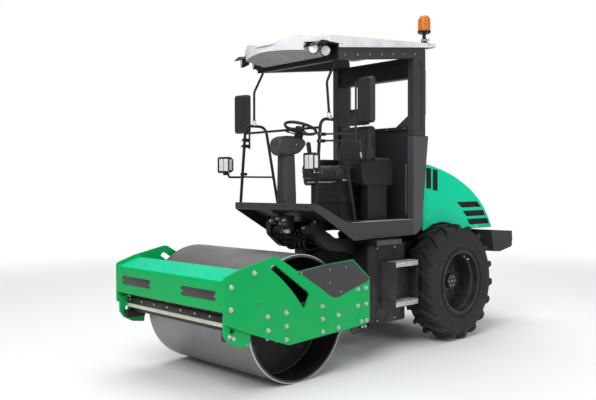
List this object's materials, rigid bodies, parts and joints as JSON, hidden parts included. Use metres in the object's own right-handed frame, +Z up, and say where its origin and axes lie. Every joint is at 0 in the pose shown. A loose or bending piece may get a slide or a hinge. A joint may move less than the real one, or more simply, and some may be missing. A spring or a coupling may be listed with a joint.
{
  "type": "single drum road roller",
  "caption": "Articulated road roller with a smooth steel drum in a green side-plate frame, lugged rear tyres, an open platform with roof, and a tilting engine hood.",
  "frame": {"origin": "under the middle of the machine, on the ground", "axes": "+Z up, the machine's front points along -Y, its left side is +X"},
  "size_m": [1.8286, 4.25, 3.2428],
  "materials": {
    "green_paint": "satin green enamel",
    "green_shell": "smooth green moulded shell",
    "drum_steel": "bare rolled steel, worn smooth",
    "black_steel": "black enamel",
    "dark_grey_paint": "fine textured dark grey powder coat",
    "cast_grey": "rough casting, painted",
    "rim_paint": "dark grey enamel",
    "chrome": "polished rod",
    "tyre": "black rubber",
    "white_plastic": "white moulded shell",
    "black_plastic": "grained black plastic",
    "grey_plastic": "grained dark grey plastic",
    "amber_plastic": "clear amber lens on a black base",
    "seat_vinyl": "black seat vinyl"
  },
  "bodies": {
    "rear_frame": {"chassis": "dark_grey_paint", "rear_axle": "cast_grey", "engine_block": "cast_grey", "counterweight": "dark_grey_paint", "tank_left": "dark_grey_paint", "tank_right": "dark_grey_paint", "steps_left": "dark_grey_paint", "steps_right": "dark_grey_paint", "floor_pan": "dark_grey_paint", "pillar_left": "dark_grey_paint", "pillar_right": "dark_grey_paint", "bulkhead": "dark_grey_paint", "rollover_frame": "dark_grey_paint", "roof_shell": "white_plastic", "guard_rails": "black_steel", "roof_stays": "black_steel", "mirrors": "black_plastic", "work_lights": "black_plastic", "roof_lights": "black_plastic", "beacon": "amber_plastic", "seat_base": "black_plastic", "seat_cushion": "seat_vinyl", "seat_back": "seat_vinyl", "console_left": "black_plastic", "console_right": "black_plastic", "steering_console": "grey_plastic", "steering_wheel": "black_plastic"},
    "knuckle": {"knuckle": "cast_grey"},
    "front_frame": {"side_plate_left": "green_paint", "side_plate_right": "green_paint", "front_crossmember": "green_paint", "rear_crossmember": "green_paint", "front_scraper": "black_steel", "rear_scraper": "black_steel", "tie_down_tabs": "green_paint", "drum_carriers": "black_steel"},
    "drum": {"drum": "drum_steel"},
    "steering_barrel": {"steering_barrel": "black_steel"},
    "steering_rod": {"steering_rod": "chrome"},
    "wheel_left": {"rim_left": "rim_paint", "tyre_left": "tyre"},
    "wheel_right": {"rim_right": "rim_paint", "tyre_right": "tyre"},
    "hood": {"hood": "green_shell", "hood_grilles": "black_plastic"}
  },
  "joints": [
    {"name": "steering", "type": "hinge", "parent": "rear_frame", "child": "knuckle", "pos_m": [0, -0.395, 0.54], "axis": [0, 0, 1], "range_deg": [-30, 30]},
    {"name": "frame_roll", "type": "hinge", "parent": "knuckle", "child": "front_frame", "pos_m": [0, -0.395, 0.54], "axis": [0, 1, 0], "range_deg": [-10, 10]},
    {"name": "drum_turn", "type": "hinge", "parent": "front_frame", "child": "drum", "pos_m": [0, -1.345, 0.51], "axis": [1, 0, 0], "continuous": true},
    {"name": "cylinder_swing", "type": "hinge", "parent": "rear_frame", "child": "steering_barrel", "pos_m": [-0.22, 0.055, 0.54], "axis": [0, 0, 1], "range_deg": [-6.6, 6.6]},
    {"name": "cylinder_stroke", "type": "slide", "parent": "steering_barrel", "child": "steering_rod", "axis": [0, -1, 0], "range_m": [-0.124, 0.124]},
    {"name": "wheel_left_turn", "type": "hinge", "parent": "rear_frame", "child": "wheel_left", "pos_m": [0.55, 0.91, 0.583], "axis": [1, 0, 0], "continuous": true},
    {"name": "wheel_right_turn", "type": "hinge", "parent": "rear_frame", "child": "wheel_right", "pos_m": [-0.55, 0.91, 0.583], "axis": [1, 0, 0], "continuous": true},
    {"name": "hood_lift", "type": "hinge", "parent": "rear_frame", "child": "hood", "pos_m": [0, 0.58, 1.768], "axis": [1, 0, 0], "range_deg": [0, 50]}
  ],
  "couplings": [
    {"joint": "cylinder_swing", "follows": "steering", "ratio": 0.217},
    {"joint": "cylinder_stroke", "follows": "steering", "m_per_rad": 0.2341}
  ]
}
